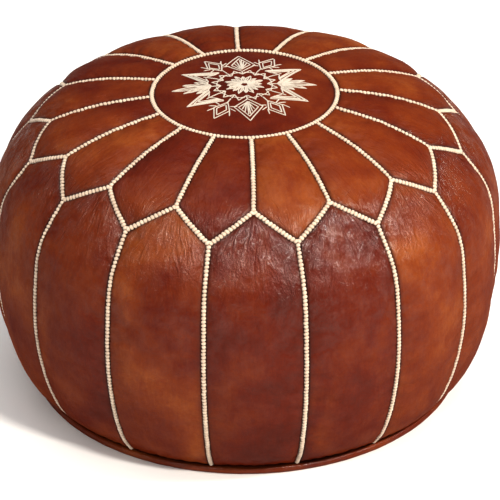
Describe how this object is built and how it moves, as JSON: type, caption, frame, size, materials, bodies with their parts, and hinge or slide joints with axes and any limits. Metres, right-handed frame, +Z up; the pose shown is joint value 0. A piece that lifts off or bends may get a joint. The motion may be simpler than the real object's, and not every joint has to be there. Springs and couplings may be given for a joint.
{
  "type": "leather pouf",
  "caption": "Round stuffed floor seat with a sewn panelled leather cover, an embroidered medallion on top and a zip in the base.",
  "frame": {"origin": "centre of the base on the floor, at the bottom centre of the bounding box", "axes": "+Z up along the axis of the pouf; +X along the zip, towards its closed end; -Y is the front, where a spoke seam of the top faces the viewer"},
  "size_m": [0.554, 0.554, 0.3411],
  "materials": {
    "leather_tan": "waxed, semi-gloss, mottled tan to red-brown",
    "leather_red_brown": "waxed, semi-gloss, darker red-brown",
    "leather_base": "waxed, satin",
    "thread_cream": "thick twisted thread, matte",
    "thread_silver": "embroidery thread with a soft sheen",
    "cotton": "woven cotton, matte",
    "filling": "loose fibre filling, matte",
    "zip_tape": "woven tape, matte",
    "brass": "antique brass, satin"
  },
  "bodies": {
    "pouf": {"medallion": "leather_red_brown", "medallion_embroidery": "thread_silver", "ring_stitching": "thread_cream", "top_panel_01": "leather_tan", "side_panel_01": "leather_tan", "top_panel_02": "leather_tan", "side_panel_02": "leather_tan", "top_panel_03": "leather_tan", "side_panel_03": "leather_tan", "top_panel_04": "leather_tan", "side_panel_04": "leather_tan", "top_panel_05": "leather_tan", "side_panel_05": "leather_tan", "top_panel_06": "leather_tan", "side_panel_06": "leather_tan", "top_panel_07": "leather_tan", "side_panel_07": "leather_tan", "top_panel_08": "leather_tan", "side_panel_08": "leather_tan", "top_panel_09": "leather_tan", "side_panel_09": "leather_tan", "top_panel_10": "leather_tan", "side_panel_10": "leather_tan", "top_panel_11": "leather_tan", "side_panel_11": "leather_tan", "top_panel_12": "leather_tan", "side_panel_12": "leather_tan", "top_panel_13": "leather_tan", "side_panel_13": "leather_tan", "top_panel_14": "leather_tan", "side_panel_14": "leather_tan", "top_panel_15": "leather_tan", "side_panel_15": "leather_tan", "top_panel_16": "leather_tan", "side_panel_16": "leather_tan", "seam_stitching": "thread_cream", "base_piping": "leather_base", "lining_bag": "cotton", "stuffing": "filling", "base_panel_front": "leather_base", "zip_tape_front": "zip_tape", "zip_teeth_front": "brass", "zip_top_stop_front": "brass", "base_panel_back": "leather_base", "zip_tape_back": "zip_tape", "zip_teeth_back": "brass", "zip_top_stop_back": "brass", "zip_bottom_stop": "brass"},
    "zip_slider": {"zip_slider": "brass"},
    "zip_pull": {"zip_pull": "brass"}
  },
  "joints": [
    {"name": "zip_slide", "type": "slide", "parent": "pouf", "child": "zip_slider", "axis": [-1, 0, 0], "range_m": [0, 0.232], "deforming": ["zip_teeth_front", "zip_teeth_back", "zip_tape_front", "zip_tape_back"]},
    {"name": "pull_hinge", "type": "hinge", "parent": "zip_slider", "child": "zip_pull", "pos_m": [0.12, 0, 0.0072], "axis": [0, -1, 0], "range_deg": [-9, 157]}
  ]
}
